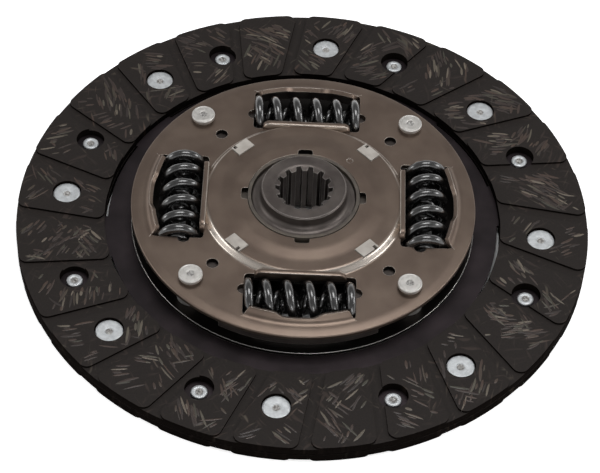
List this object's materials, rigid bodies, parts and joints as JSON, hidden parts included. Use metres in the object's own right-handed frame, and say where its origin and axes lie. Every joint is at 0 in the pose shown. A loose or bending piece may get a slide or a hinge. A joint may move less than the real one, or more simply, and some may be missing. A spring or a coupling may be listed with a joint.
{
  "type": "clutch disc",
  "caption": "Dry clutch disc with skew-grooved organic facings riveted to a cushion disc, a sprung torsion damper and a splined hub.",
  "frame": {"origin": "centre of the rear friction face, on the disc's axis", "axes": "+Z along the disc's axis, out of the front side, where the hub stands out; +X and +Y through two neighbouring spring windows"},
  "size_m": [0.2, 0.2, 0.0218],
  "materials": {
    "facing": "pressed friction material of wound yarn and resin, ground flat",
    "rivet": "zinc plated steel",
    "cushion": "blued spring steel",
    "cover": "nitrided sheet steel, bronze grey",
    "hub": "phosphated forged steel with machined edges",
    "spring": "oiled black spring wire",
    "pin": "bare turned steel",
    "friction_ring": "pale moulded polyamide",
    "washer": "plain spring steel"
  },
  "bodies": {
    "disc": {"front_facing": "facing", "rear_facing": "facing", "cushion_disc": "cushion", "front_facing_rivets": "rivet", "rear_facing_rivets": "rivet", "front_cover": "cover", "rear_plate": "cover", "damper_spring_1": "spring", "damper_spring_2": "spring", "damper_spring_3": "spring", "damper_spring_4": "spring", "inner_spring_1": "spring", "inner_spring_2": "spring", "inner_spring_3": "spring", "inner_spring_4": "spring", "stop_pin_1": "pin", "stop_pin_2": "pin", "stop_pin_3": "pin", "stop_pin_4": "pin", "front_friction_ring": "friction_ring", "rear_friction_ring": "friction_ring", "disc_spring": "washer", "support_washer": "washer"},
    "hub": {"hub": "hub"}
  },
  "joints": [
    {"name": "damper_turn", "type": "hinge", "parent": "disc", "child": "hub", "pos_m": [0, 0, 0.0108], "axis": [0, 0, 1], "range_deg": [-8, 8], "stiffness_Nm_per_rad": 20, "deforming": ["damper_spring_1", "damper_spring_2", "damper_spring_3", "damper_spring_4", "inner_spring_1", "inner_spring_2", "inner_spring_3", "inner_spring_4"]}
  ]
}
